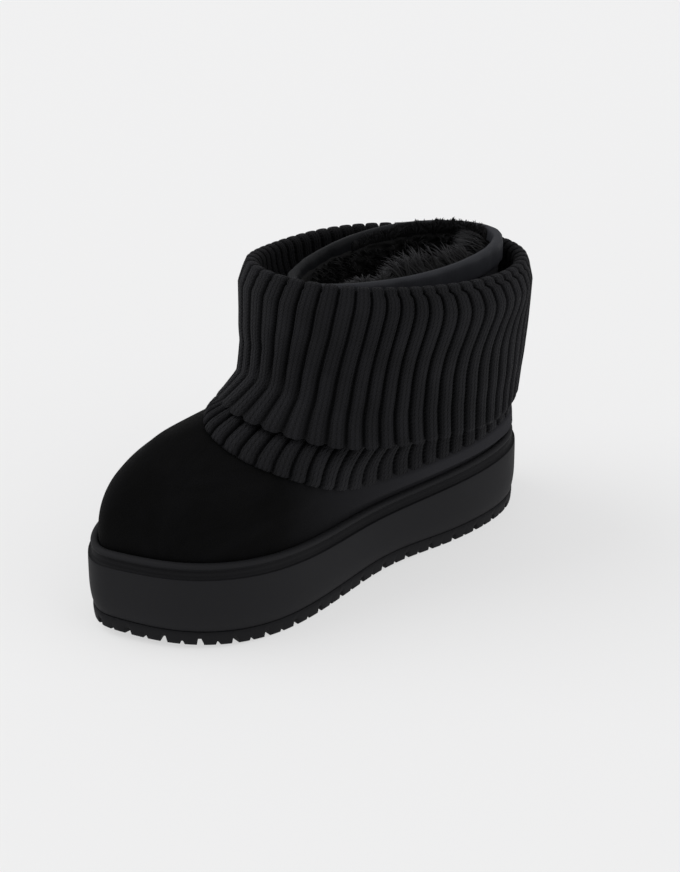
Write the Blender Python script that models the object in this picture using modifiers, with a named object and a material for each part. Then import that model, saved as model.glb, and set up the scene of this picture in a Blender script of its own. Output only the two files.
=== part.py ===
"""A left sock boot: platform sole, plush-lined suede bootie, and a ribbed knit shaft with its cuff turned down.

Metres, +Z up, +X towards the toe, +Y towards the boot's left, which is its outer side. Every ring of points
starts at the toe and runs over the outer side, the heel and the inner side.
"""

import math
from collections import namedtuple

import bmesh
import bpy
import numpy as np

# Sole
SOLE_LENGTH = 0.270
BALL_WIDTH = 0.100
OUTSOLE_THICKNESS = 0.0075
PLATFORM_HEIGHT = 0.0465
PLATFORM_BULGE = 0.0010
BEAD_HEIGHT = 0.0040
BEAD_SETBACK = 0.0036
BEAD_GROOVE = 0.0014
RECESS_DEPTH = 0.0080
TOE_SPRING = 0.0040
TOE_SPRING_START = 0.35
HEEL_SPRING = 0.0020
HEEL_SPRING_START = 0.80
ARCH_RISE = 0.0012
ARCH_MIDDLE = -0.14
ARCH_REACH = 0.30
TREAD_PITCH = 0.0170
TREAD_GROOVE_WIDTH = 0.0030
TREAD_GROOVE_DEPTH = 0.0036
EDGE_NOTCH_WIDTH = 0.0016
EDGE_NOTCH_DEPTH = 0.0018
EDGE_NOTCH_REACH = 0.0070

# Bootie
SUEDE_WALL = 0.0022
INSOLE_THICKNESS = 0.0045
INSOLE_CHAMFER = 0.0012
ANKLE_HEIGHT = 0.106
ANKLE_LENGTH = 0.122
ANKLE_WIDTH = 0.078
ANKLE_SETBACK = 0.0575
ANKLE_SIDE = 0.001
ANKLE_SLOPE = 0.11
COLLAR_HEIGHT = 0.1565
COLLAR_LENGTH = 0.133
COLLAR_WIDTH = 0.071
COLLAR_SETBACK = 0.0515
COLLAR_SIDE = 0.0005
COLLAR_TAPER = 0.15
COLLAR_SLOPE = -0.03
SHAFT_SPREAD = 0.70
TAPE_HEIGHT = 0.0095
TAPE_TURN_IN = 0.0065
TAPE_THICKNESS = 0.0012
PILE_THICKNESS = 0.0032
LOCK_LENGTH = 0.0075
LOCK_LIFT = 0.0035
LOCK_ROWS = 5

# Knit shaft
KNIT_THICKNESS = 0.0032
FOLD_HEIGHT = 0.1585
FOLD_LENGTH = 0.1655
FOLD_WIDTH = 0.1275
FOLD_SETBACK = 0.0490
FOLD_SIDE = 0.001
FOLD_SLOPE = 0.08
FOLD_ROLL = 0.0105
CUFF_DEPTH = 0.078
CUFF_FLARE = 0.015
CUFF_PULL = 0.010
CUFF_PULL_START = 0.35
RIB_COUNT = 56
RIB_DEPTH = 0.0014

# Clearances
FIT_GAP = 0.0003
BAND_GAP = 0.0008
PILE_GAP = 0.0010

COLUMNS = 52
SEAT_SHARE = 0.10
BOOTIE_SHARES = (0.0, SEAT_SHARE, 0.22, 0.34, 0.46, 0.58, 0.72, 0.86, 1.0, 1.30, 1.62, 2.0)
LINING_SHARES = (0.86, 1.0, 1.30, 1.62)

OutlineRow = namedtuple("OutlineRow", "lateral medial")
SOLE_OUTLINE = (
    # Half widths as shares of the ball width, a row for each twelfth of the turn from toe tip to heel.
    OutlineRow(-0.095, -0.095),
    OutlineRow(0.040, -0.225),
    OutlineRow(0.256, -0.358),
    OutlineRow(0.428, -0.465),
    OutlineRow(0.503, -0.500),
    OutlineRow(0.478, -0.445),
    OutlineRow(0.419, -0.360),
    OutlineRow(0.418, -0.350),
    OutlineRow(0.434, -0.394),
    OutlineRow(0.410, -0.394),
    OutlineRow(0.325, -0.323),
    OutlineRow(0.173, -0.170),
    OutlineRow(0.000, 0.000),
)

WallRow = namedtuple("WallRow", "height bulge")
PLATFORM_WALL = (
    # From the parting line up to the bead's groove: height as a share, bulge as a share of PLATFORM_BULGE.
    WallRow(0.00, -0.1),
    WallRow(0.35, 1.0),
    WallRow(0.88, 0.3),
    WallRow(1.00, -0.9),
)

TreadRow = namedtuple("TreadRow", "height inset")
TREAD_WALL = (
    # Side of the outsole from the floor up: height as a share of its thickness, inset in metres.
    TreadRow(0.00, 0.0012),
    TreadRow(0.16, 0.0000),
    TreadRow(0.90, -0.0003),
    TreadRow(1.00, 0.0004),
)

BeadRow = namedtuple("BeadRow", "height setback groove")
PLATFORM_BEAD = (
    # From the groove over the bead: height as a share of BEAD_HEIGHT, setback and groove as shares of theirs.
    BeadRow(0.00, 0.60, 1.0),
    BeadRow(0.22, 0.60, 1.0),
    BeadRow(0.50, 0.50, 0.0),
    BeadRow(0.85, 0.62, 0.0),
    BeadRow(1.00, 1.00, 0.0),
    BeadRow(0.85, 1.40, 0.0),
)

TopRow = namedtuple("TopRow", "height")
TOP_LINE = (
    # The bead's crest as a share of PLATFORM_HEIGHT, a row for each sixth of the turn from toe tip to heel.
    TopRow(1.010),
    TopRow(1.000),
    TopRow(0.935),
    TopRow(0.872),
    TopRow(0.930),
    TopRow(0.990),
    TopRow(1.000),
)

PathRow = namedtuple("PathRow", "rise drop")
FOOT_PATHS = (
    # How far the suede runs straight up from the sole and straight down from the ankle, as shares of the
    # height between them, a row for each sixth of the turn from toe tip to heel.
    PathRow(1.12, 0.42),
    PathRow(0.92, 0.42),
    PathRow(0.72, 0.40),
    PathRow(0.60, 0.38),
    PathRow(0.50, 0.34),
    PathRow(0.42, 0.34),
    PathRow(0.40, 0.34),
)

EdgeRow = namedtuple("EdgeRow", "lateral medial")
KNIT_EDGE = (
    # Where the knit's lower edge crosses the suede, as shares of the way from sole to ankle, a row for each
    # sixth of the turn from toe tip to heel.
    EdgeRow(0.53, 0.53),
    EdgeRow(0.455, 0.57),
    EdgeRow(0.37, 0.52),
    EdgeRow(0.24, 0.42),
    EdgeRow(0.24, 0.34),
    EdgeRow(0.30, 0.30),
    EdgeRow(0.33, 0.33),
)

CuffRow = namedtuple("CuffRow", "drop front side back")
CUFF_SECTIONS = (
    # Outer face of the cuff from fold to hem: drop as a share of the depth, the rest as shares of CUFF_FLARE.
    CuffRow(0.05, -0.10, -0.10, -0.12),
    CuffRow(0.16, 0.10, 0.06, 0.00),
    CuffRow(0.58, 0.18, 0.04, -0.06),
    CuffRow(0.80, 0.60, 0.10, -0.06),
    CuffRow(0.93, 1.15, 0.20, -0.03),
    CuffRow(1.00, 1.45, 0.26, -0.02),
)

HemRow = namedtuple("HemRow", "depth pull")
HEM = (
    # How deep the cuff hangs as a share of CUFF_DEPTH, and how far its lower part is pulled in as a share of
    # CUFF_PULL, a row for each twelfth of the turn from toe tip to heel.
    HemRow(0.815, 0.0),
    HemRow(0.93, 0.0),
    HemRow(1.01, 0.0),
    HemRow(1.01, 0.1),
    HemRow(0.98, 0.45),
    HemRow(0.96, 0.45),
    HemRow(0.96, 0.0),
)

FoldRow = namedtuple("FoldRow", "angle ribbed")
FOLD_ROWS = (
    # Where the knit turns over: angle over the outward level, rib relief as a share of RIB_DEPTH.
    FoldRow(60, 1.0),
    FoldRow(90, 0.8),
    FoldRow(125, 0.6),
)

Finish = namedtuple("Finish", "colour roughness smooth_angle")
FINISHES = {
    "outsole": Finish((0.016, 0.016, 0.017), 0.70, 35),
    "midsole": Finish((0.018, 0.018, 0.020), 0.60, 35),
    "insole": Finish((0.030, 0.030, 0.030), 0.95, 35),
    "upper": Finish((0.012, 0.012, 0.012), 0.95, 35),
    "lining": Finish((0.022, 0.022, 0.022), 0.95, 35),
    "collar_binding": Finish((0.030, 0.030, 0.034), 0.50, 35),
    "knit_shaft": Finish((0.020, 0.020, 0.022), 0.90, 60),
}

# Heights of the knit's inner ply, from fold to ankle, and places on the band between its edge and the ankle.
INNER_PLY = (0.90, 0.45)
BAND_INSIDE = (1.0, 0.68, 0.34, 0.0)
BAND_OUTSIDE = (0.0, 0.5, 1.0)


def clear_scene():
    for obj in list(bpy.data.objects):
        bpy.data.objects.remove(obj, do_unlink=True)


def closed_spline(values, turn):
    """A smooth closed curve through evenly spaced values, read at turn, where 1 is once around."""
    values = np.asarray(values, float)
    count = len(values)
    near = np.roll(np.eye(count), 1, axis=0)
    bend = np.linalg.solve(4 * np.eye(count) + near + near.T, 6 * (near + near.T - 2 * np.eye(count)) @ values)
    place = np.mod(turn, 1.0) * count
    first = np.floor(place).astype(int) % count
    second = (first + 1) % count
    f = place - np.floor(place)
    g = 1 - f
    return g * values[first] + f * values[second] + ((g**3 - g) * bend[first] + (f**3 - f) * bend[second]) / 6


def around(rows, lateral, medial):
    """One closed list of values out of the rows' outer and inner columns."""
    outer = [getattr(row, lateral) for row in rows]
    inner = [getattr(row, medial) for row in rows]
    return outer + inner[-2:0:-1]


def turns(count):
    return np.arange(count) / count


def outward(point, turn, step):
    """The level normal of a closed curve that runs anticlockwise."""
    along = point(turn + step) - point(turn - step)
    along /= np.linalg.norm(along, axis=-1, keepdims=True)
    return np.stack([along[..., 1], -along[..., 0]], axis=-1)


def outline(turn, inset=0.0):
    """The sole's outline, moved in by the inset along its normal."""
    widths = np.array(around(SOLE_OUTLINE, "lateral", "medial")) * BALL_WIDTH
    step = 1e-4

    def point(t):
        return np.stack([SOLE_LENGTH / 2 * np.cos(2 * np.pi * t), closed_spline(widths, t)], axis=-1)

    return point(turn) - outward(point, turn, step) * np.asarray(inset)[..., None]


def ring(turn, length, width, setback, side, growth=0.0, taper=0.0):
    """An oval round the leg, narrower in front by the taper, and grown outwards along its own normal."""
    step = 1e-4

    def point(t):
        c, s = np.cos(2 * np.pi * t), np.sin(2 * np.pi * t)
        return np.stack([length / 2 * c - setback, width / 2 * s * (1 - taper * c) + side], axis=-1)

    return point(turn) + outward(point, turn, step) * np.asarray(growth)[..., None]


def tread_height(x):
    """Toe spring, the rounded back of the heel and the arch, as heights over the floor."""
    share = x / (SOLE_LENGTH / 2)
    toe = TOE_SPRING * np.clip((share - TOE_SPRING_START) / (1 - TOE_SPRING_START), 0, 1) ** 2
    heel = HEEL_SPRING * np.clip((-share - HEEL_SPRING_START) / (1 - HEEL_SPRING_START), 0, 1) ** 2
    arch = ARCH_RISE * np.cos(np.pi / 2 * np.clip((share - ARCH_MIDDLE) / ARCH_REACH, -1, 1)) ** 2
    return toe + heel + arch


def platform_top(turn):
    """The bead's crest, which dips beside the arch."""
    return closed_spline(around(TOP_LINE, "height", "height"), turn) * PLATFORM_HEIGHT


def with_height(plan, height):
    return np.concatenate([plan, np.broadcast_to(height, plan.shape[:-1])[..., None]], axis=-1)


def mesh_object(name, points, faces, collection):
    mesh = bpy.data.meshes.new(name)
    mesh.from_pydata([tuple(p) for p in points], [], faces)
    mesh.validate()
    mesh.update()
    obj = bpy.data.objects.new(name, mesh)
    collection.objects.link(obj)
    return obj


def loft(rings, closed_section=False):
    """Quads between successive rings, and between the last and the first where the section is closed."""
    count = len(rings[0])
    total = len(rings)
    faces = []
    for i in range(total if closed_section else total - 1):
        for j in range(count):
            a, b = i * count, (i + 1) % total * count
            k = (j + 1) % count
            faces.append((a + j, a + k, b + k, b + j))
    return np.concatenate(rings), faces


def strips(count, start, upward):
    """Fills a ring of the sole with strips across it, from toe to heel."""
    faces = []
    half = count // 2
    for j in range(half):
        quad = [start + j, start + j + 1, start + (count - j - 1) % count, start + (count - j) % count]
        quad = list(dict.fromkeys(quad))
        faces.append(tuple(quad if upward else quad[::-1]))
    return faces


def finish(obj):
    look = FINISHES[obj.name]
    material = bpy.data.materials.new(obj.name)
    material.use_nodes = True
    shader = material.node_tree.nodes["Principled BSDF"]
    shader.inputs["Base Color"].default_value = (*look.colour, 1.0)
    shader.inputs["Roughness"].default_value = look.roughness
    obj.data.materials.append(material)
    obj.data.shade_smooth()
    obj.data.set_sharp_from_angle(angle=math.radians(look.smooth_angle))
    return obj


def midsole(collection):
    turn = turns(COLUMNS)
    crest = platform_top(turn)
    wall_top = crest - BEAD_HEIGHT
    wall_base = OUTSOLE_THICKNESS + FIT_GAP
    rings = []
    for row in PLATFORM_WALL:
        plan = outline(turn, -row.bulge * PLATFORM_BULGE)
        height = wall_base + row.height * (wall_top - wall_base)
        rings.append(with_height(plan, height + tread_height(plan[:, 0]) * (1 - row.height)))
    for row in PLATFORM_BEAD:
        plan = outline(turn, row.setback * BEAD_SETBACK + row.groove * BEAD_GROOVE)
        rings.append(with_height(plan, wall_top + row.height * BEAD_HEIGHT))
    rings.append(with_height(outline(turn, recess_inset()), recess_floor(turn)))
    points, faces = loft(rings)
    faces += strips(COLUMNS, 0, False)
    faces += strips(COLUMNS, (len(rings) - 1) * COLUMNS, True)
    return finish(mesh_object("midsole", points, faces, collection))


def recess_inset():
    return BEAD_SETBACK * PLATFORM_BEAD[-1].setback


def recess_floor(turn):
    return platform_top(turn) - RECESS_DEPTH


def outsole(collection, cutters):
    turn = turns(COLUMNS)
    rings = []
    for row in TREAD_WALL:
        plan = outline(turn, row.inset)
        rings.append(with_height(plan, row.height * OUTSOLE_THICKNESS + tread_height(plan[:, 0])))
    points, faces = loft(rings)
    faces += strips(COLUMNS, 0, False)
    faces += strips(COLUMNS, (len(rings) - 1) * COLUMNS, True)
    sole = finish(mesh_object("outsole", points, faces, collection))
    cut_tread(sole, cutters)
    return sole


def box(bm, low, high):
    made = bmesh.ops.create_cube(bm, size=1.0)["verts"]
    for vert in made:
        for axis in range(3):
            vert.co[axis] = low[axis] if vert.co[axis] < 0 else high[axis]


def cut_tread(sole, cutters):
    """Grooves right across the tread, and a shallow notch at both edges between each two of them."""
    bm = bmesh.new()
    count = math.floor((SOLE_LENGTH - 2 * TREAD_PITCH) / TREAD_PITCH)
    middles = (np.arange(count) - (count - 1) / 2) * TREAD_PITCH
    reach = BALL_WIDTH
    below = -OUTSOLE_THICKNESS
    for x in middles:
        half = TREAD_GROOVE_WIDTH / 2
        top = TREAD_GROOVE_DEPTH + float(tread_height(np.array(x)))
        box(bm, (x - half, -reach, below), (x + half, reach, top))
    for x in (middles[:-1] + middles[1:]) / 2:
        half = EDGE_NOTCH_WIDTH / 2
        top = EDGE_NOTCH_DEPTH + float(tread_height(np.array(x)))
        edge = math.acos(x / (SOLE_LENGTH / 2)) / (2 * math.pi)
        for side, t in ((1, edge), (-1, 1 - edge)):
            y = float(outline(np.array(t))[1])
            inner, outer = y - side * EDGE_NOTCH_REACH, side * reach
            box(bm, (x - half, min(inner, outer), below), (x + half, max(inner, outer), top))
    mesh = bpy.data.meshes.new("tread_grooves")
    bm.to_mesh(mesh)
    bm.free()
    cutter = bpy.data.objects.new("tread_grooves", mesh)
    cutter.hide_render = True
    cutter.display_type = "WIRE"
    cutters.objects.link(cutter)
    cut = sole.modifiers.new("tread", "BOOLEAN")
    cut.operation = "DIFFERENCE"
    cut.solver = "EXACT"
    cut.object = cutter


def collar_ring(turn, growth=0.0):
    plan = ring(turn, COLLAR_LENGTH, COLLAR_WIDTH, COLLAR_SETBACK, COLLAR_SIDE, growth, COLLAR_TAPER)
    return with_height(plan, COLLAR_HEIGHT + COLLAR_SLOPE * (plan[..., 0] + COLLAR_SETBACK))


def ankle_ring(turn):
    plan = ring(turn, ANKLE_LENGTH, ANKLE_WIDTH, ANKLE_SETBACK, ANKLE_SIDE)
    return with_height(plan, ANKLE_HEIGHT + ANKLE_SLOPE * (plan[..., 0] + ANKLE_SETBACK))


def shaft_share(turn, height):
    """The bootie's share at a height over the ankle."""
    ankle = ankle_ring(turn)[..., 2]
    return 1 + np.clip((height - ankle) / (collar_ring(turn)[..., 2] - ankle), 0, 1)


def bootie_point(turn, share):
    """Outer face of the suede. Share 0 is on the sole, 1 the ankle and 2 the collar.

    From sole to ankle each line is a Bezier curve that leaves the sole upright and reaches the ankle upright.
    """
    rise = closed_spline(around(FOOT_PATHS, "rise", "rise"), turn)
    drop = closed_spline(around(FOOT_PATHS, "drop", "drop"), turn)
    plan = outline(turn, recess_inset() + FIT_GAP)
    base = with_height(plan, recess_floor(turn) + FIT_GAP)
    start = with_height(plan, platform_top(turn))
    end = ankle_ring(turn)
    tall = end[..., 2] - start[..., 2]
    up = np.zeros_like(start)
    up[..., 2] = 1.0
    leave = start + up * (rise * tall)[..., None]
    reach = end - up * (drop * tall)[..., None]
    seat = np.clip(share / SEAT_SHARE, 0, 1)[..., None]
    s = np.clip((share - SEAT_SHARE) / (1 - SEAT_SHARE), 0, 1)[..., None]
    foot = (1 - s) ** 3 * start + 3 * s * (1 - s) ** 2 * leave + 3 * s**2 * (1 - s) * reach + s**3 * end
    top = collar_ring(turn)
    c = np.clip(share - 1, 0, 1)[..., None]
    eased = np.clip(c / SHAFT_SPREAD, 0, 1)
    ease = eased * eased * (3 - 2 * eased)
    shaft = end + (top - end) * np.concatenate([ease, ease, c], axis=-1)
    below = base + (start - base) * seat
    return np.where(share[..., None] <= SEAT_SHARE, below, np.where(share[..., None] <= 1, foot, shaft))


def bootie_normal(turn, share):
    step = 1e-3
    low = np.clip(share - step, 0, 2)
    high = np.clip(share + step, 0, 2)
    upward = bootie_point(turn, high) - bootie_point(turn, low)
    sideways = bootie_point(turn + step, share) - bootie_point(turn - step, share)
    normal = np.cross(sideways, upward)
    return normal / np.linalg.norm(normal, axis=-1, keepdims=True)


def upper(collection):
    turn = turns(COLUMNS)
    rings = []
    for share in BOOTIE_SHARES:
        rings.append(bootie_point(turn, np.full_like(turn, share)))
    points, faces = loft(rings)
    shell = mesh_object("upper", points, faces, collection)
    wall = shell.modifiers.new("wall", "SOLIDIFY")
    wall.thickness = SUEDE_WALL
    wall.offset = -1.0
    wall.use_even_offset = True
    return finish(shell)


def lining(collection):
    """A plush sleeve inside the suede, from the ankle up to the tape, with a lock of pile fused on each field.

    Each lock is a four-sided point that stands in from its field and bends upwards.
    """
    count = COLUMNS // 2
    turn = turns(count)
    outer = SUEDE_WALL + PILE_GAP
    inner = outer + PILE_THICKNESS

    def top(t):
        return shaft_share(t, collar_ring(t)[..., 2] - TAPE_TURN_IN - PILE_GAP)

    def face(t, share, depth):
        return bootie_point(t, share) - bootie_normal(t, share) * depth

    rings = [face(turn, np.full_like(turn, share), outer) for share in LINING_SHARES]
    rings.append(face(turn, top(turn), outer))
    first = len(rings)
    drops = np.linspace(0, 1, LOCK_ROWS + 1)
    for drop in drops:
        rings.append(face(turn, top(turn) + drop * (LINING_SHARES[0] - top(turn)), inner))
    points, faces = loft(rings, closed_section=True)
    fields = faces[first * count:(first + LOCK_ROWS) * count]
    plain = faces[:first * count] + faces[(first + LOCK_ROWS) * count:]
    between = turn + 1 / (2 * count)
    tips = []
    for drop in (drops[:-1] + drops[1:]) / 2:
        share = top(between) + drop * (LINING_SHARES[0] - top(between))
        tips.append(face(between, share, inner + LOCK_LENGTH) + np.array([0.0, 0.0, LOCK_LIFT]))
    locks = []
    for apex, corners in enumerate(fields, len(points)):
        for m in range(4):
            locks.append((corners[m], corners[(m + 1) % 4], apex))
    points = np.concatenate([points, *tips])
    return finish(mesh_object("lining", points, plain + locks, collection))


def collar_binding(collection):
    """A tape folded over the collar: down its outside, and a shorter way down its inside."""
    turn = turns(COLUMNS)
    rim = collar_ring(turn)
    out = FIT_GAP
    far = FIT_GAP + TAPE_THICKNESS
    inner = -SUEDE_WALL - FIT_GAP
    deep = inner - TAPE_THICKNESS
    section = (
        (far, -TAPE_HEIGHT),
        (far, FIT_GAP + TAPE_THICKNESS),
        (deep, FIT_GAP + TAPE_THICKNESS),
        (deep, -TAPE_TURN_IN),
        (inner, -TAPE_TURN_IN),
        (inner, FIT_GAP),
        (out, FIT_GAP),
        (out, -TAPE_HEIGHT),
    )
    rings = []
    for growth, rise in section:
        level = collar_ring(turn, growth)
        level[:, 2] = rim[:, 2] + rise
        rings.append(level)
    points, faces = loft(rings, closed_section=True)
    return finish(mesh_object("collar_binding", points, faces, collection))


def insole(collection):
    turn = turns(COLUMNS)
    inset = recess_inset() + FIT_GAP + SUEDE_WALL + BAND_GAP
    rings = []
    for rise, chamfer in ((0.0, 0.0), (INSOLE_THICKNESS - INSOLE_CHAMFER, 0.0), (INSOLE_THICKNESS, INSOLE_CHAMFER)):
        plan = outline(turn, inset + chamfer)
        rings.append(with_height(plan, recess_floor(turn) + FIT_GAP + rise))
    points, faces = loft(rings)
    faces += strips(COLUMNS, 0, False)
    faces += strips(COLUMNS, (len(rings) - 1) * COLUMNS, True)
    return finish(mesh_object("insole", points, faces, collection))


def fold_ring(turn, growth):
    """The knit tube at the fold, on the line where the cuff turns over."""
    length, width = FOLD_LENGTH - FOLD_ROLL, FOLD_WIDTH - FOLD_ROLL
    plan = ring(turn, length, width, FOLD_SETBACK, FOLD_SIDE, growth)
    return plan, FOLD_HEIGHT + FOLD_SLOPE * (plan[..., 0] + FOLD_SETBACK)


def rib(turn, depth):
    """1 on a rib and 0 in a groove, times the depth."""
    return depth * (0.5 + 0.5 * np.cos(2 * np.pi * RIB_COUNT * turn))


def cuff_growth(turn, front, side, back):
    """Growth of a cuff section that passes smoothly from its front through its sides to its back."""
    c = np.cos(2 * np.pi * turn)
    return np.where(c > 0, side + (front - side) * c**2, side + (back - side) * c**2) * CUFF_FLARE


def cuff_ring(turn, row, growth):
    """A ring of the cuff, which hangs less deep in front, where its hem rests over the vamp."""
    lower = max(row.drop - CUFF_PULL_START, 0) / (1 - CUFF_PULL_START)
    pull = closed_spline(around(HEM, "pull", "pull"), turn) * CUFF_PULL * lower**2
    flare = cuff_growth(turn, row.front, row.side, row.back)
    plan, crest = fold_ring(turn, FOLD_ROLL / 2 + flare - pull + growth)
    depth = closed_spline(around(HEM, "depth", "depth"), turn) * CUFF_DEPTH
    return with_height(plan, crest - row.drop * depth)


def inner_ply(turn, rise, growth):
    """The knit's inner ply, from the ankle at rise 0, where it lies on the suede, to the fold at rise 1."""
    plan, crest = fold_ring(turn, growth - FOLD_ROLL / 2)
    ankle = ankle_ring(turn)[..., 2]
    height = ankle + rise * (crest - FOLD_ROLL / 2 - ankle)
    share = shaft_share(turn, height)
    near = bootie_point(turn, share) + bootie_normal(turn, share) * (BAND_GAP + growth)
    ease = rise * rise * (3 - 2 * rise)
    return with_height(near[:, :2] + (plan - near[:, :2]) * ease, height)


def knit_shaft(collection):
    turn = turns(2 * RIB_COUNT)
    flat = np.zeros_like(turn)
    ribs = rib(turn, RIB_DEPTH)
    edge = closed_spline(around(KNIT_EDGE, "lateral", "medial"), turn)
    rings = []
    for row in reversed(CUFF_SECTIONS):
        rings.append(cuff_ring(turn, row, ribs - RIB_DEPTH))
    for row in FOLD_ROWS:
        roll = FOLD_ROLL / 2 - RIB_DEPTH + ribs * row.ribbed
        angle = math.radians(row.angle)
        plan, crest = fold_ring(turn, roll * math.cos(angle))
        rings.append(with_height(plan, crest - FOLD_ROLL / 2 + roll * math.sin(angle)))
    for rise in INNER_PLY:
        rings.append(inner_ply(turn, rise, 0.0))
    for share in BAND_INSIDE:
        v = edge + (1 - edge) * share
        rings.append(bootie_point(turn, v) + bootie_normal(turn, v) * BAND_GAP)
    outer = (BAND_GAP + KNIT_THICKNESS - RIB_DEPTH + ribs)[:, None]
    for share in BAND_OUTSIDE:
        v = edge + (1 - edge) * share
        rings.append(bootie_point(turn, v) + bootie_normal(turn, v) * outer)
    for rise in INNER_PLY[::-1]:
        rings.append(inner_ply(turn, rise, KNIT_THICKNESS))
    plan, crest = fold_ring(turn, flat)
    rings.append(with_height(plan, crest - KNIT_THICKNESS))
    for row in CUFF_SECTIONS[1::2]:
        rings.append(cuff_ring(turn, row, flat - KNIT_THICKNESS))
    points, faces = loft(rings, closed_section=True)
    return finish(mesh_object("knit_shaft", points, faces, collection))


def settle_origin(objects):
    """Puts the origin under the middle of the boot's box."""
    points = np.concatenate([np.array([v.co for v in obj.data.vertices]) for obj in objects])
    middle = (points.min(axis=0) + points.max(axis=0)) / 2
    holder = bpy.data.objects.new("sock_boot", None)
    bpy.context.scene.collection.objects.link(holder)
    holder.location = (-middle[0], -middle[1], 0.0)
    for obj in objects:
        obj.parent = holder
    return holder


def main():
    clear_scene()
    boot = bpy.data.collections.new("sock_boot")
    cutters = bpy.data.collections.new("cutters")
    for collection in (boot, cutters):
        bpy.context.scene.collection.children.link(collection)
    objects = [
        outsole(boot, cutters),
        midsole(boot),
        insole(boot),
        upper(boot),
        lining(boot),
        collar_binding(boot),
        knit_shaft(boot),
    ]
    holder = settle_origin(objects)
    for cutter in cutters.objects:
        cutter.parent = holder


main()
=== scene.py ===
import functools
import math

import bmesh
import bpy
import numpy as np
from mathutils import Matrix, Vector


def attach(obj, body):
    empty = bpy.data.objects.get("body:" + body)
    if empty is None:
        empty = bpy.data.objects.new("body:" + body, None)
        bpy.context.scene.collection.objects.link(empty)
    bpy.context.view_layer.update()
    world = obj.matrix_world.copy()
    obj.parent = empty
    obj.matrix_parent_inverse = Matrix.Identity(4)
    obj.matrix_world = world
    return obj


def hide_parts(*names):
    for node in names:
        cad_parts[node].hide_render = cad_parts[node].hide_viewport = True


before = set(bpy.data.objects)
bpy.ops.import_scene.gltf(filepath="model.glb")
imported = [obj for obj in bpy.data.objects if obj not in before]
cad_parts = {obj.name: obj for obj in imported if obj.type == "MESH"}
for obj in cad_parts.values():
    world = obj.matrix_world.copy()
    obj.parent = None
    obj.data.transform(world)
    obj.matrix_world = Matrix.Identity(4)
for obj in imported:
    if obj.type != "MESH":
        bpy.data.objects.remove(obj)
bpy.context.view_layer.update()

print("frame loaded:", ", ".join(sorted(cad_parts)))

# A left sock boot in metres: toe to +X, outer side to +Y. A turn of 0 is the toe, 0.25 the outer side,
# 0.5 the heel and 0.75 the inner side.

last = {
    "soleLength": 0.270,
    "ballWidth": 0.100,
    "platformHeight": 0.0465,
    "treadThickness": 0.0075,
    "beadHeight": 0.0040,
    "recessInset": 0.00504,
    "recessDepth": 0.0080,
    "toeSpring": 0.0040,
    "heelSpring": 0.0020,
    "archRise": 0.0012,
    "gap": 0.0003,
    # half widths as shares of the ball width, outer side then inner side, toe tip to heel in twelfths
    "outerWidths": (-0.095, 0.040, 0.256, 0.428, 0.503, 0.478, 0.419, 0.418, 0.434, 0.410, 0.325, 0.173, 0.0),
    "innerWidths": (-0.095, -0.225, -0.358, -0.465, -0.500, -0.445, -0.360, -0.350, -0.394, -0.394, -0.323,
                    -0.170, 0.0),
    "topLine": (1.010, 1.000, 0.935, 0.872, 0.930, 0.990, 1.000),
}

leg = {
    "ankle": {"height": 0.106, "length": 0.122, "width": 0.078, "setback": 0.0575, "side": 0.001,
              "slope": 0.11},
    "collar": {"height": 0.1565, "length": 0.133, "width": 0.071, "setback": 0.0515, "side": 0.0005,
               "slope": -0.03, "taper": 0.15},
    "fold": {"height": 0.1585, "length": 0.1655, "width": 0.1275, "setback": 0.0490, "side": 0.001,
             "slope": 0.08},
    "spread": 0.70,
    "seatShare": 0.10,
    "rise": (1.12, 0.92, 0.72, 0.60, 0.50, 0.42, 0.40),
    "drop": (0.42, 0.42, 0.40, 0.38, 0.34, 0.34, 0.34),
}


def ringValues(outer, inner=None):
    # one closed list of values from the toe over the outer side and the heel back to the toe
    inner = outer if inner is None else inner
    return list(outer) + list(inner[-2:0:-1])


def closedSpline(values, turn):
    # periodic cubic spline through evenly spaced values, read at turn
    values = np.asarray(values, float)
    count = len(values)
    near = np.roll(np.eye(count), 1, axis=0)
    bend = np.linalg.solve(4 * np.eye(count) + near + near.T, 6 * (near + near.T - 2 * np.eye(count)) @ values)
    place = np.mod(turn, 1.0) * count
    first = np.floor(place).astype(int) % count
    second = (first + 1) % count
    f = place - np.floor(place)
    g = 1 - f
    return g * values[first] + f * values[second] + ((g**3 - g) * bend[first] + (f**3 - f) * bend[second]) / 6


def smoothRows(rows, perSpan):
    # Catmull-Rom curve through given rows, perSpan steps between each two of them
    rows = np.asarray(rows, float)
    padded = np.concatenate([rows[:1], rows, rows[-1:]])
    s = np.arange(perSpan)[:, None] / perSpan
    out = []
    for a, b, c, d in zip(padded[:-3], padded[1:-2], padded[2:-1], padded[3:]):
        out.append(0.5 * (2 * b + (c - a) * s + (2 * a - 5 * b + 4 * c - d) * s**2
                          + (3 * b - a - 3 * c + d) * s**3))
    return np.concatenate(out + [rows[-1:]])


def step01(low, high, value):
    # 0 below low, 1 above high and a smooth cubic between
    s = np.clip((value - low) / (high - low), 0, 1)
    return s * s * (3 - 2 * s)


def bell(value, centre, width):
    # Gaussian hump of height 1
    return np.exp(-((value - centre) / width) ** 2)


def turnBell(turn, centre, width):
    # Gaussian hump on the turn, which wraps round at 1
    return bell(np.mod(turn - centre + 0.5, 1.0) - 0.5, 0.0, width)


def outward(point, turn):
    # level unit normal of a closed curve that runs anticlockwise: its tangent turned right
    along = point(turn + 1e-4) - point(turn - 1e-4)
    along = along / np.linalg.norm(along, axis=-1, keepdims=True)
    return np.stack([along[..., 1], -along[..., 0]], axis=-1)


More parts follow.
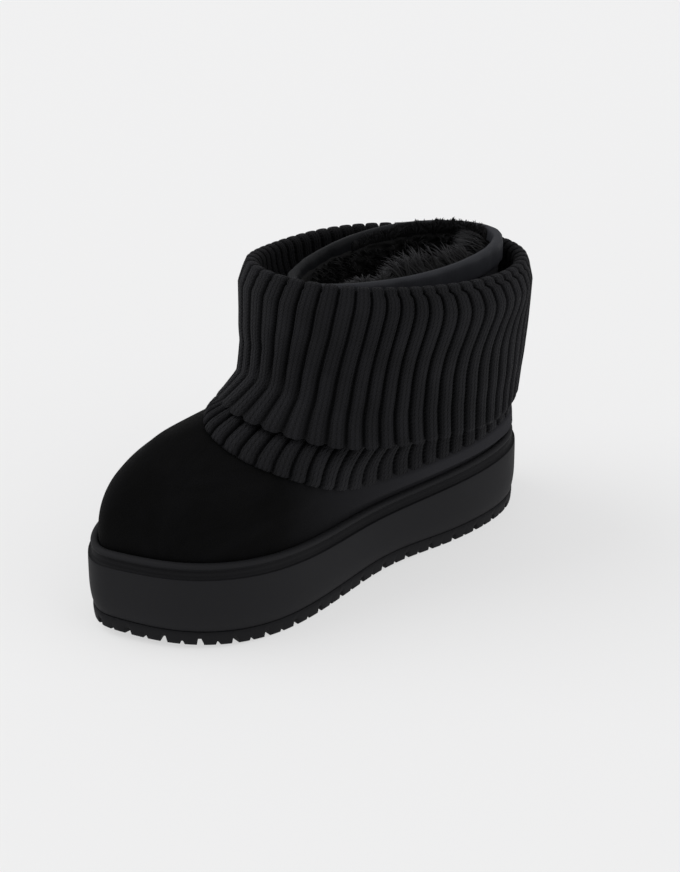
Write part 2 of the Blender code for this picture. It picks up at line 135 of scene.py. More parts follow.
def solePlan(turn, inset=0.0):
    # x is half the length times the cosine of the turn, y the spline of half widths, moved in along the normal
    widths = np.array(ringValues(last["outerWidths"], last["innerWidths"])) * last["ballWidth"]

    def point(t):
        # the outline before it is moved in
        return np.stack([last["soleLength"] / 2 * np.cos(2 * np.pi * t), closedSpline(widths, t)], axis=-1)

    return point(turn) - outward(point, turn) * np.asarray(inset)[..., None]


def legPlan(turn, ring, growth=0.0, shorter=0.0):
    # an ellipse about the leg, narrower in front by its taper, grown along its level normal
    length, width = ring["length"] - shorter, ring["width"] - shorter
    taper = ring.get("taper", 0.0)

    def point(t):
        # the ellipse before it grows
        c, s = np.cos(2 * np.pi * t), np.sin(2 * np.pi * t)
        return np.stack([length / 2 * c - ring["setback"], width / 2 * s * (1 - taper * c) + ring["side"]], axis=-1)

    return point(turn) + outward(point, turn) * np.asarray(growth)[..., None]


def withHeight(plan, height):
    # plan points with the height as their third value
    return np.concatenate([plan, np.broadcast_to(height, plan.shape[:-1])[..., None]], axis=-1)


def legLine(turn, ring, growth=0.0):
    # the grown ellipse at the ring's height, tipped by its slope along x
    plan = legPlan(turn, ring, growth)
    return withHeight(plan, ring["height"] + ring["slope"] * (plan[..., 0] + ring["setback"]))


def soleLift(x):
    # toe spring, rounded heel and arch as heights over the floor
    share = x / (last["soleLength"] / 2)
    toe = last["toeSpring"] * np.clip((share - 0.35) / 0.65, 0, 1) ** 2
    heel = last["heelSpring"] * np.clip((-share - 0.80) / 0.20, 0, 1) ** 2
    arch = last["archRise"] * np.cos(np.pi / 2 * np.clip((share + 0.14) / 0.30, -1, 1)) ** 2
    return toe + heel + arch


def platformTop(turn):
    # spline through the top line's shares of the platform's height
    return closedSpline(ringValues(last["topLine"]), turn) * last["platformHeight"]


def recessFloor(turn):
    # the platform's top less the recess's depth
    return platformTop(turn) - last["recessDepth"]


def bootiePoint(turn, share):
    # outer face of the suede: share 0 on the sole, 1 at the ankle, 2 at the collar. Between sole and ankle
    # each line is a cubic Bezier that leaves and arrives upright; above it the ankle eases into the collar
    turn, share = np.broadcast_arrays(np.asarray(turn, float), np.asarray(share, float))
    seatShare = leg["seatShare"]
    rise = closedSpline(ringValues(leg["rise"]), turn)
    drop = closedSpline(ringValues(leg["drop"]), turn)
    plan = solePlan(turn, last["recessInset"] + last["gap"])
    base = withHeight(plan, recessFloor(turn) + last["gap"])
    start = withHeight(plan, platformTop(turn))
    end = legLine(turn, leg["ankle"])
    top = legLine(turn, leg["collar"])
    tall = end[..., 2] - start[..., 2]
    up = np.zeros_like(start)
    up[..., 2] = 1.0
    leave = start + up * (rise * tall)[..., None]
    reach = end - up * (drop * tall)[..., None]
    seat = np.clip(share / seatShare, 0, 1)[..., None]
    s = np.clip((share - seatShare) / (1 - seatShare), 0, 1)[..., None]
    foot = (1 - s) ** 3 * start + 3 * s * (1 - s) ** 2 * leave + 3 * s**2 * (1 - s) * reach + s**3 * end
    c = np.clip(share - 1, 0, 1)[..., None]
    eased = np.clip(c / leg["spread"], 0, 1)
    eased = eased * eased * (3 - 2 * eased)
    shaft = end + (top - end) * np.concatenate([eased, eased, c], axis=-1)
    below = base + (start - base) * seat
    return np.where(share[..., None] <= seatShare, below, np.where(share[..., None] <= 1, foot, shaft))


def bootieNormal(turn, share):
    # unit cross product of the ways round and up the suede
    turn, share = np.broadcast_arrays(np.asarray(turn, float), np.asarray(share, float))
    upward = bootiePoint(turn, np.clip(share + 1e-3, 0, 2)) - bootiePoint(turn, np.clip(share - 1e-3, 0, 2))
    sideways = bootiePoint(turn + 1e-3, share) - bootiePoint(turn - 1e-3, share)
    normal = np.cross(sideways, upward)
    return normal / np.linalg.norm(normal, axis=-1, keepdims=True)


def ankleShare(turn, height):
    # the bootie's share at a height over the ankle
    ankle = legLine(turn, leg["ankle"])[..., 2]
    return 1 + np.clip((height - ankle) / (legLine(turn, leg["collar"])[..., 2] - ankle), 0, 1)


def addObject(name, data):
    # one object of the data, linked to the scene
    made = bpy.data.objects.new(name, data)
    bpy.context.scene.collection.objects.link(made)
    return made


def addAttributes(mesh, attributes, shape):
    # each attribute's values, spread over the shape of the points, as floats on the points
    for key, values in attributes.items():
        layer = mesh.attributes.new(key, "FLOAT", "POINT")
        layer.data.foreach_set("value", np.broadcast_to(values, shape).astype(np.float32).ravel())


def ringMesh(name, points, closedRows=False, capFirst=False, capLast=False, uv=None, attributes=None, weld=False):
    # rows of closed rings, joined by quads; a cap fills a ring with strips across the sole
    rows, columns = points.shape[:2]
    i = np.arange(rows if closedRows else rows - 1)[:, None]
    j = np.arange(columns)[None, :]
    a, b = i * columns, (i + 1) % rows * columns
    k = (j + 1) % columns
    faces = np.stack(np.broadcast_arrays(a + j, a + k, b + k, b + j), axis=-1).reshape(-1, 4).tolist()
    quadCount = len(faces)
    for wanted, row, upward in ((capFirst, 0, False), (capLast, rows - 1, True)):
        if not wanted:
            continue
        start = row * columns
        for m in range(columns // 2):
            strip = [start + m, start + m + 1, start + (columns - m - 1) % columns, start + (columns - m) % columns]
            strip = list(dict.fromkeys(strip))
            faces.append(strip if upward else strip[::-1])
    mesh = bpy.data.meshes.new(name)
    mesh.from_pydata(points.reshape(-1, 3).tolist(), [], faces)
    addAttributes(mesh, attributes or {}, (rows, columns))
    if uv is not None:
        u, v = uv              # u has one value more than there are columns, v one for each row or point
        v = np.broadcast_to(v if np.ndim(v) == 2 else np.asarray(v)[:, None], (rows, columns))
        v = np.concatenate([v, v[:, :1]], axis=1)
        i, j = np.broadcast_arrays(i, j)
        corners = [(i, j), (i, j + 1), ((i + 1) % rows, j + 1), ((i + 1) % rows, j)]
        flat = np.stack([np.stack([u[cj], v[ci, cj]], axis=-1) for ci, cj in corners], axis=2).reshape(-1, 2)
        layer = mesh.uv_layers.new(name="UVMap")
        full = np.zeros((len(mesh.loops), 2), np.float32)
        full[: quadCount * 4] = flat
        layer.data.foreach_set("uv", full.ravel())
    piece = addObject(name, mesh)
    if weld:
        bm = bmesh.new()
        bm.from_mesh(mesh)
        bmesh.ops.remove_doubles(bm, verts=bm.verts, dist=1e-6)
        bm.to_mesh(mesh)
        bm.free()
    mesh.shade_smooth()
    return piece


def dress(piece, material, slot, *nodes):
    # every piece is on the one body, takes its finish from its material and may stand for imported nodes
    piece.data.materials.clear()
    piece.data.materials.append(material)
    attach(piece, "root")
    if nodes:
        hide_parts(*nodes)
    print(f"{piece.name}: {len(piece.data.polygons)} faces")
    return piece


# Materials

def hexColour(text):
    # sRGB hex to linear RGBA
    values = [int(text[i:i + 2], 16) / 255 for i in (1, 3, 5)]
    return tuple(v / 12.92 if v <= 0.04045 else ((v + 0.055) / 1.055) ** 2.4 for v in values) + (1.0,)


def feed(node, inputs):
    # each socket, by its name or index, gets a value, a hex colour, an output, or a node's first enabled output
    for key, value in inputs.items():
        if isinstance(value, str):
            value = hexColour(value)
        if isinstance(value, bpy.types.Node):
            value = next(output for output in value.outputs if output.enabled)
        if isinstance(value, bpy.types.NodeSocket):
            node.id_data.links.new(value, node.inputs[key])
        else:
            node.inputs[key].default_value = value
    return node


def addNode(tree, kind, inputs=None, **settings):
    # one node of a kind with its settings and links
    node = tree.nodes.new("ShaderNode" + kind)
    for key, value in settings.items():
        setattr(node, key, value)
    return feed(node, inputs or {})


def newMaterial(name, **surface):
    # a Principled surface whose plain values are set on its own sockets, and addNode for its tree
    material = bpy.data.materials.new(name)
    material.use_nodes = True
    tree = material.node_tree
    shader = tree.nodes["Principled BSDF"]
    feed(shader, {key.replace("_", " "): value for key, value in surface.items()})
    return material, shader, functools.partial(addNode, tree)


ribKnit = {
    "yarn": "#1d1d1f",
    "shade": "#0c0c0d",
    "tip": "#27272a",
    # groove: colour painted into the grooves between ribs and over the inner plies, as painted shade
    "groove": "#050506",
    "sheen": "#5a5a60",
    "walesPerRib": 4,
    "coursePitch": 0.0021,     # a real course is about 1.4 mm; drawn coarser so that it shows
    "slant": 1.5,              # courses that a stitch's leg climbs across half a wale
    "bump": 0.0005,
}


def knitMaterial(cfg):
    # 1x1 rib of acrylic and wool yarn, machine knitted: dull, softly fuzzy, each wale a column of small Vs
    material, shader, add = newMaterial("acrylicWoolRibKnit", Roughness=0.92, Specular_IOR_Level=0.12,
                                        Sheen_Weight=0.10, Sheen_Roughness=0.5, Sheen_Tint=cfg["sheen"])
    place = add("TexCoord").outputs["Object"]
    split = add("SeparateXYZ", {0: add("UVMap", uv_map="UVMap")})
    wales = add("Math", {0: split.outputs[0], 1: cfg["walesPerRib"]}, operation="MULTIPLY")
    wale = add("Math", {0: wales}, operation="FRACT")
    middle = add("Math", {0: wale, 1: 0.5}, operation="SUBTRACT")
    across = add("Math", {0: middle}, operation="ABSOLUTE")
    courses = add("Math", {0: split.outputs[1], 1: cfg["coursePitch"]}, operation="DIVIDE")
    slant = add("Math", {0: across, 1: cfg["slant"], 2: courses}, operation="MULTIPLY_ADD")
    phase = add("Math", {0: slant, 1: 2 * math.pi}, operation="MULTIPLY")
    stitch = add("Math", {0: phase}, operation="SINE")
    edge = add("Math", {0: across, 1: 2.0}, operation="MULTIPLY")
    column = add("Math", {0: edge, 1: 3.0}, operation="POWER")
    fuzz = add("TexNoise", {"Vector": place, "Scale": 900.0, "Detail": 3.0})
    relief = add("Math", {0: stitch, 1: 0.30}, operation="MULTIPLY")
    relief = add("Math", {0: relief, 1: column}, operation="SUBTRACT")
    relief = add("Math", {0: fuzz, 1: 0.5, 2: relief}, operation="MULTIPLY_ADD")
    bump = add("Bump", {"Height": relief, "Distance": cfg["bump"], "Strength": 1.0})
    lit = add("MapRange", {0: relief, 1: -0.9, 2: 0.5, 3: 0.25, 4: 1.0})
    yarn = add("Mix", {0: lit, 6: cfg["shade"], 7: cfg["yarn"]}, data_type="RGBA")
    patches = add("TexNoise", {"Vector": place, "Scale": 60.0, "Detail": 2.0})
    worn = add("MapRange", {0: patches, 1: 0.42, 2: 0.75, 3: 0.0, 4: 0.35})
    yarn = add("Mix", {0: worn, 6: yarn, 7: cfg["tip"]}, data_type="RGBA")
    # painted shade: the groove colour goes where the crest attribute is low, in the grooves and on the inner plies
    crest = add("Attribute", attribute_name="crest").outputs["Fac"]
    deep = add("Mix", {0: crest, 6: cfg["groove"], 7: yarn}, data_type="RGBA")
    feed(shader, {"Base Color": deep, "Normal": bump})
    return material


suede = {
    "nap": "#090909",
    "brushed": "#0f0f10",
    "worn": "#080808",
    # heel: colour of the painted light on the suede round the heel
    "heel": "#2f2f32",
    "heelLightFade": (0.060, -0.045),   # painted light: the suede is painted lighter round the heel between these places along the boot
    "sheen": "#3a3a3c",
    "grain": 0.0007,
    "bump": 0.00018,
}


def suedeMaterial(cfg):
    # split cow suede, buffed and dyed black: no gloss, short nap that lies light or dark where it was brushed
    material, shader, add = newMaterial("buffedSuede", Roughness=0.97, Specular_IOR_Level=0.06,
                                        Sheen_Weight=0.05, Sheen_Roughness=0.45, Sheen_Tint=cfg["sheen"])
    place = add("TexCoord").outputs["Object"]
    stretched = add("Mapping", {"Vector": place, "Rotation": (0.3, 0.5, 0.7), "Scale": (1.0, 2.4, 1.4)})
    patches = add("TexNoise", {"Vector": stretched, "Scale": 22.0, "Detail": 4.0, "Roughness": 0.6,
                               "Distortion": 0.6})
    grain = add("TexNoise", {"Vector": place, "Scale": 1 / cfg["grain"], "Detail": 3.0, "Roughness": 0.7})
    strokes = add("MapRange", {0: patches, 1: 0.35, 2: 0.70, 3: 0.0, 4: 1.0})
    coat = add("Mix", {0: strokes, 6: cfg["worn"], 7: cfg["brushed"]}, data_type="RGBA")
    speck = add("MapRange", {0: grain, 1: 0.3, 2: 0.7, 3: 0.0, 4: 0.6})
    coat = add("Mix", {0: speck, 6: coat, 7: cfg["nap"]}, data_type="RGBA")
    # painted light: the suede is painted lighter towards the heel, where light falls
    along = add("SeparateXYZ", {0: place}).outputs[0]
    front, rear = cfg["heelLightFade"]
    heel = add("MapRange", {0: along, 1: front, 2: rear, 3: 0.0, 4: 0.9})
    coat = add("Mix", {0: heel, 6: coat, 7: cfg["heel"]}, data_type="RGBA")
    height = add("Math", {0: patches, 1: 2.0, 2: grain.outputs[0]}, operation="MULTIPLY_ADD")
    bump = add("Bump", {"Height": height, "Distance": cfg["bump"], "Strength": 1.0})
    feed(shader, {"Base Color": coat, "Normal": bump})
    return material


foam = {"name": "mouldedEvaFoam", "colour": "#1b1b1d", "scuff": "#202022", "coveShade": "#121214", "roughness": 0.70,
        "pebble": 0.0005, "bump": 0.00004}
rubber = {"name": "mouldedTreadRubber", "colour": "#151517", "scuff": "#1c1c1e", "coveShade": "#121214",
          "roughness": 0.75, "pebble": 0.0008, "bump": 0.00008}


def mouldedMaterial(cfg):
    # moulded compound: matt mould skin with a very fine spark-eroded grain and faint dull scuffs
    material, shader, add = newMaterial(cfg["name"], Specular_IOR_Level=0.15)
    place = add("TexCoord").outputs["Object"]
    grain = add("TexNoise", {"Vector": place, "Scale": 1 / cfg["pebble"], "Detail": 2.0})
    cloud = add("TexNoise", {"Vector": place, "Scale": 14.0, "Detail": 5.0, "Roughness": 0.65})
    rubbed = add("MapRange", {0: cloud, 1: 0.45, 2: 0.75, 3: 0.0, 4: 0.5})
    skin = add("Mix", {0: rubbed, 6: cfg["colour"], 7: cfg["scuff"]}, data_type="RGBA")
    # painted shade: the cove under the bead is painted darker through its attribute
    coveShade = add("Attribute", attribute_name="coveShade").outputs["Fac"]
    skin = add("Mix", {0: coveShade, 6: skin, 7: cfg["coveShade"]}, data_type="RGBA")
    dull = add("MapRange", {0: cloud, 1: 0.3, 2: 0.7, 3: cfg["roughness"] - 0.05, 4: cfg["roughness"] + 0.06})
    bump = add("Bump", {"Height": grain, "Distance": cfg["bump"], "Strength": 1.0})
    feed(shader, {"Base Color": skin, "Roughness": dull, "Normal": bump})
    return material


satinTape = {"colour": "#08090b", "rubbed": "#0e0f12", "paintedLight": "#303135", "sheen": "#50555c", "ribPitch": 0.0007,
             "bump": 0.00010}


def tapeMaterial(cfg):
    # woven polyester satin binding, folded over: even soft shine along the fold, fine cross ribs
    material, shader, add = newMaterial("satinBinding", Roughness=0.55, Specular_IOR_Level=0.08,
                                        Sheen_Weight=0.02, Sheen_Roughness=0.4, Sheen_Tint=cfg["sheen"])
    uv = add("UVMap", uv_map="UVMap").outputs[0]
    split = add("SeparateXYZ", {0: uv})
    phase = add("Math", {0: split.outputs[0], 1: 2 * math.pi / cfg["ribPitch"]}, operation="MULTIPLY")
    cords = add("Math", {0: phase}, operation="SINE")
    slub = add("TexNoise", {"Vector": uv, "Scale": 260.0, "Detail": 2.0})
    height = add("Math", {0: cords, 1: 0.4, 2: slub.outputs[0]}, operation="MULTIPLY_ADD")
    bump = add("Bump", {"Height": height, "Distance": cfg["bump"], "Strength": 1.0})
    mottle = add("MapRange", {0: slub, 1: 0.35, 2: 0.7, 3: 0.0, 4: 0.6})
    colour = add("Mix", {0: mottle, 6: cfg["colour"], 7: cfg["rubbed"]}, data_type="RGBA")
    # painted light and shade: lighter where the tape catches light, darker where it is in shade, through its
    # attribute
    paintedLight = add("Attribute", attribute_name="paintedLight").outputs["Fac"]
    colour = add("Mix", {0: paintedLight, 6: colour, 7: cfg["paintedLight"]}, data_type="RGBA")
    feed(shader, {"Base Color": colour, "Normal": bump})
    return material


plush = {"root": "#020202", "body": "#070708", "tip": "#343436", "sheen": "#66666a", "bump": 0.0006}


def plushMaterial(cfg):
    # long-pile acrylic plush: dark at the root, lighter and silkier at the tip of each lock
    material, shader, add = newMaterial("longPilePlush", Roughness=0.80, Specular_IOR_Level=0.18,
                                        Sheen_Weight=0.10, Sheen_Roughness=0.4, Sheen_Tint=cfg["sheen"])
    tip = add("Attribute", attribute_name="tip").outputs["Fac"]
    # the shade attribute paints light and shade: lighter on the lit fringe, near black on the pile deep in the
    # shaft
    shade = add("Attribute", attribute_name="shade").outputs["Fac"]
    grow = add("MapRange", {0: tip, 1: 0.35, 2: 1.0, 3: 0.0, 4: 1.0}, interpolation_type="SMOOTHSTEP")
    low, high = (add("Mix", {0: shade, 6: cfg[dark], 7: cfg[light]},
                     data_type="RGBA") for dark, light in (("root", "body"), ("body", "tip")))
    colour = add("Mix", {0: grow, 6: low, 7: high}, data_type="RGBA")
    place = add("TexCoord").outputs["Object"]
    fibre = add("TexNoise", {"Vector": place, "Scale": 700.0, "Detail": 3.0, "Roughness": 0.7})
    bump = add("Bump", {"Height": fibre, "Distance": cfg["bump"], "Strength": 1.0})
    feed(shader, {"Base Color": colour, "Normal": bump})
    return material


knitYarn = knitMaterial(ribKnit)
napSuede = suedeMaterial(suede)
softFoam = mouldedMaterial(foam)
treadRubber = mouldedMaterial(rubber)
satin = tapeMaterial(satinTape)
pile = plushMaterial(plush)
print("materials made")


# Platform

platform = {
    "columns": 400,
    # height as a share from the parting line to the bead's foot, rise above that, inset from the outline
    "profile": (
        (0.0, 0.0003, 0.0100),
        (0.0, 0.0000, 0.0014),
        (0.0, 0.0004, 0.0006),
        (0.0, 0.0014, 0.0001),
        (0.15, 0.0, -0.0006),
        (0.35, 0.0, -0.0010),
        (0.70, 0.0, -0.0007),
        (1.0, -0.0040, -0.0004),
        (1.0, -0.0035, 0.0000),
        (1.0, -0.0033, 0.0010),
        (1.0, -0.0026, 0.0015),
        (1.0, -0.0012, 0.0017),
        (1.0, -0.0002, 0.0024),
        (1.0, 0.0003, 0.0027),
        (1.0, 0.0007, 0.0024),
        (1.0, 0.0013, 0.0018),
        (1.0, 0.0021, 0.0013),
        (1.0, 0.0030, 0.0015),
        (1.0, 0.0037, 0.0024),
        (1.0, 0.0039, 0.0037),
        (1.0, 0.0034, 0.0048),
        (1.0, 0.0024, 0.00505),
        (1.0, 0.0010, 0.00504),
        (1.0, -0.0040, 0.00504),
    ),
    "stepsPerRow": 4,
    # rises where the painted shade in the cove below the bead starts, is full, ends being full and stops, and the
    # share of the rows, from the bottom, that reaches the bead's crest
    "coveShade": (-0.0039, -0.0033, 0.0, 0.0004),
    "outerRows": 0.7,
}


def makePlatform(cfg):
    # the profile carried round the sole's outline, between the parting line and the wavy top
    turn = np.arange(cfg["columns"]) / cfg["columns"]
    rows = smoothRows(cfg["profile"], cfg["stepsPerRow"])
    share, rise, inset = rows[:, :1], rows[:, 1:2], rows[:, 2:]
    base = last["treadThickness"] + last["gap"]
    foot = platformTop(turn) - last["beadHeight"]
    plan = solePlan(turn[None, :] + 0 * inset, inset + 0 * turn)
    height = base + share * (foot - base) + rise + soleLift(plan[..., 0]) * (1 - np.clip(share, 0, 1))
    points = withHeight(plan, height)
    starts, full, ends, stops = cfg["coveShade"]
    # painted shade: the cove under the bead's overhang is marked to be painted darker
    coveShadeMask = step01(starts, full, rise) * (1 - step01(ends, stops, rise)) * (share > 0.99)
    coveShadeMask = coveShadeMask * (np.arange(len(rows))[:, None] < len(rows) * cfg["outerRows"])
    return dress(ringMesh("platform", points, capFirst=True, capLast=True, attributes={"coveShade": coveShadeMask + 0 * turn}),
                 softFoam, "foam", "midsole")


makePlatform(platform)


# Tread

tread = {
    "pitch": 0.0170,
    "grooveWidth": 0.0026,
    "grooveDepth": 0.0036,
    "notchWidth": 0.0015,
    "notchDepth": 0.0019,
    "notchReach": 0.0070,
    "wallSlope": 0.00035,
    "capLength": 0.044,
    "capFade": (0.55, 0.85),
    "clearOfEdge": 0.0007,
    "sharpAngle": 40,
    "columnStep": 0.0028,
    "wall": ((1.0, 0.0060), (1.0, 0.0011), (0.94, 0.0003), (0.80, -0.0002), (0.45, -0.0001), (0.14, 0.0001),
             (0.03, 0.0005), (0.0, 0.0012)),
    "inward": (0.0, 0.10, 0.16, 0.22, 0.45, 0.72, 1.0),
}


def treadColumns(cfg):
    # Half a turn of columns, with four at the walls of each groove, and how deep each column is cut by the
    # cross grooves and by the edge notches. Grooves run straight across, and fan out round toe and heel.
    half = last["soleLength"] / 2
    straight = half - cfg["capLength"]
    fine = np.linspace(0, 0.5, 4001)
    plan = (solePlan(fine) * [1, 1] + solePlan(1 - fine) * [1, -1]) / 2
    run = np.concatenate([[0], np.cumsum(np.linalg.norm(np.diff(plan, axis=0), axis=1))])
    count = math.floor(2 * straight / cfg["pitch"])
    middles = (np.arange(count) - (count - 1) / 2) * cfg["pitch"]
    centres = [np.interp(-x, -plan[:, 0], run) for x in middles]
    first, lastOne = min(centres), max(centres)
    toeSteps = max(1, round(first / cfg["pitch"]))
    heelSteps = max(1, round((run[-1] - lastOne) / cfg["pitch"]))
    centres += [first * k / toeSteps for k in range(toeSteps)]
    centres += [lastOne + (run[-1] - lastOne) * k / heelSteps for k in range(1, heelSteps + 1)]
    centres = np.array(sorted(centres))
    between = (centres[:-1] + centres[1:]) / 2
    edges = [0.0, run[-1]]
    slope = cfg["wallSlope"]
    for places, width in ((centres, cfg["grooveWidth"]), (between, cfg["notchWidth"])):
        for offset in (-width / 2 - slope, -width / 2, -width / 2 + slope, width / 2 - slope, width / 2,
                       width / 2 + slope):
            edges += list(places + offset)
    edges = np.array(edges)
    plain = np.arange(0, run[-1], cfg["columnStep"])
    near = np.abs(plain[:, None] - edges[None, :]).min(axis=1)
    places = np.unique(np.round(np.concatenate([edges, plain[near > cfg["clearOfEdge"]]]), 7))
    places = places[(places >= 0) & (places <= run[-1])]
    cuts = []
    for at, width in ((centres, cfg["grooveWidth"]), (between, cfg["notchWidth"])):
        away = np.abs(places[:, None] - at[None, :]).min(axis=1)
        cuts.append(1 - step01(width / 2 - slope, width / 2 + slope, away))
    return np.interp(places, run, fine), cuts[0], cuts[1]


def soleSpine(edge, straight):
    # for each edge point the nearest place on the sole's middle line, which ends short of toe and heel, and the
    # turn of that place on the outer side
    spineX = np.clip(edge[:, 0], -straight, straight)
    middle = np.arccos(spineX / (last["soleLength"] / 2)) / (2 * np.pi)
    return np.stack([spineX, (solePlan(middle)[:, 1] + solePlan(1 - middle)[:, 1]) / 2], axis=-1), middle


def makeTread(cfg):
    # each column runs down the side wall, turns under and runs in to the sole's spine
    halfTurn, groove, notch = treadColumns(cfg)
    turn = np.concatenate([halfTurn, 1 - halfTurn[-2:0:-1]])
    groove = np.concatenate([groove, groove[-2:0:-1]])
    notch = np.concatenate([notch, notch[-2:0:-1]])
    straight = last["soleLength"] / 2 - cfg["capLength"]
    wall = smoothRows(cfg["wall"], 2)
    edge = solePlan(turn)
    cap = np.abs(edge[:, 0]) > straight
    spine, _ = soleSpine(edge, straight)
    reach = np.linalg.norm(edge - spine, axis=1)
    cut = cfg["grooveDepth"] * groove + cfg["notchDepth"] * notch * (1 - groove)
    rows = []
    for share, inset in wall:
        plan = solePlan(turn, np.full_like(turn, inset))
        lift = soleLift(plan[:, 0])
        rows.append(withHeight(plan, lift + share * last["treadThickness"] + (1 - share) * cut))
    under = rows[-1]
    for inward in cfg["inward"][1:]:
        plan = under[:, :2] * (1 - inward) + spine * inward
        fade = 1 - step01(*cfg["capFade"], np.full_like(turn, inward)) * cap
        small = 1 - step01(cfg["notchReach"] * 0.8, cfg["notchReach"] * 1.2, inward * reach)
        lift = cfg["grooveDepth"] * groove * fade + cfg["notchDepth"] * notch * (1 - groove) * small
        rows.append(withHeight(plan, soleLift(plan[:, 0]) + lift))
    points = np.stack(rows)[::-1]
    piece = ringMesh("tread", points, capLast=True, weld=True)
    piece.data.set_sharp_from_angle(angle=math.radians(cfg["sharpAngle"]))
    return dress(piece, treadRubber, "tread_rubber", "outsole")


makeTread(tread)


# Suede bootie

bootie = {
    "columns": 360,
    "wall": 0.0022,
    # the knit band's lower edge as a share of the upper's height, outer side and inner side, toe to heel
    "outerEdge": (0.53, 0.455, 0.36, 0.218, 0.212, 0.275, 0.33),
    "innerEdge": (0.53, 0.57, 0.52, 0.42, 0.34, 0.30, 0.33),
    "counter": 0.0038,         # how far the suede swells round the heel, up to the ribs that run out on it
    # shares over which the counter starts, and past the band's edge over which it ends; where creases start
    "counterStart": (0.10, 0.15),
    "counterEnd": (-0.01, 0.045),
    "creaseStart": (0.10, 0.16),
    # creases and swells on the vamp and quarters: turn, share, half lengths in turn and share, lean
    # of share per turn, depth
    "creases": (
        (0.095, 0.33, 0.035, 0.030, 1.6, -0.0007),
        (0.075, 0.40, 0.040, 0.035, 1.4, 0.0006),
        (0.130, 0.24, 0.030, 0.035, 2.0, 0.0005),
        (0.175, 0.20, 0.025, 0.030, 1.2, -0.0005),
        (0.020, 0.42, 0.030, 0.030, 0.5, -0.0005),
        (0.950, 0.42, 0.035, 0.030, -1.0, 0.0006),
        (0.900, 0.36, 0.035, 0.030, -1.6, -0.0007),
        (0.850, 0.28, 0.030, 0.035, -1.6, 0.0005),
        (0.380, 0.17, 0.040, 0.035, 0.4, -0.0004),
        (0.620, 0.20, 0.040, 0.035, -0.4, -0.0004),
    ),
}


def bandEdge(turn):
    # share of the upper's height at which the knit band ends
    return closedSpline(ringValues(bootie["outerEdge"], bootie["innerEdge"]), turn)


def heelShare(turn):
    # 0 over the toe half and 1 round the heel, with a soft step at each quarter
    return 1 - step01(0.23, 0.31, np.abs(np.mod(turn, 1.0) - 0.5))


def creaseDepth(turn, share, creases):
    # sum of leaning Gaussian troughs and ridges
    depth = np.zeros(np.broadcast(turn, share).shape)
    for atTurn, atShare, longTurn, longShare, lean, height in creases:
        away = np.mod(turn - atTurn + 0.5, 1.0) - 0.5
        depth += height * bell(away, 0, longTurn) * bell(share - lean * away, atShare, longShare)
    return depth


def makeBootie(cfg):
    # outer face from the sole to the collar and inner face back down, one closed shell open at both ends
    turn = (np.arange(cfg["columns"]) / cfg["columns"])[None, :]
    outer = np.concatenate([[0.0, 0.05], np.linspace(0.10, 1.0, 110), np.linspace(1.02, 2.0, 30)])[:, None]
    inner = np.concatenate([np.linspace(2.0, 1.0, 12), np.linspace(0.96, 0.10, 26), [0.05, 0.0]])[:, None]
    seated = step01(*cfg["creaseStart"], outer)
    ends = 1 - step01(*cfg["counterEnd"], outer - bandEdge(turn))
    counter = cfg["counter"] * heelShare(turn) * step01(*cfg["counterStart"], outer) * ends
    lift = creaseDepth(turn, outer, cfg["creases"]) * seated + counter
    face = bootiePoint(turn, outer) + bootieNormal(turn, outer) * lift[..., None]
    back = bootiePoint(turn, inner) - bootieNormal(turn, inner) * cfg["wall"]
    points = np.concatenate([face, back])
    return dress(ringMesh("suede_bootie", points, closedRows=True), napSuede, "suede", "upper")


makeBootie(bootie)


# Plush lining

lining = {
    "columns": 260,
    "shares": (0.12, 1.93),
    "thickness": 0.0030,
    "clump": 0.0016,
    "clearance": 0.0004,
    "least": 0.0012,
    "thinAt": (0.88, 0.09),    # the pile lies flat about this turn
    "lockWidth": 0.0013,
    "lockTaper": (0.8, 1.0, 0.85, 0.5, 0.06),
    "lockFlat": 0.6,
    "rootDepth": 0.0024,
    "seed": 11,
    "gatherSeed": 5,
    "leanSeed": 8,
    # groups of locks: how many, first and last turn, lowest and highest share, inward and upward lean, droop,
    # painted lightness (light for the lit fringe, 0 deep in the shaft as painted shade); then their length in
    # metres at even steps over those turns
    "groups": (
        (3500, 0.06, 0.53, 1.74, 1.93, 0.85, 0.58, 0.30, 0.70,
         (0.004, 0.010, 0.012, 0.023, 0.023, 0.016, 0.018, 0.019, 0.014, 0.008)),
        (2000, 0.46, 0.76, 1.90, 1.97, 0.12, 0.95, 0.25, 0.42, (0.0060, 0.0070, 0.0071, 0.0072, 0.0066, 0.004)),
        (1600, 0.30, 0.86, 1.10, 1.90, 0.75, 0.35, 0.45, 0.0, (0.010, 0.011, 0.010, 0.007, 0.006)),
    ),
}


def clumps(turn, along, seed):
    # sum of eleven slanting sine waves with seeded phases, between about -1 and 1
    rng = np.random.default_rng(seed)
    total = np.zeros(np.broadcast(turn, along).shape)
    for _ in range(11):
        around = rng.integers(9, 42)
        upward = rng.uniform(5, 22)
        phase = rng.uniform(0, 2 * np.pi)
        total += np.sin(2 * np.pi * (around * turn + upward * along * rng.choice((-1, 1))) + phase)
    return total / 5.0


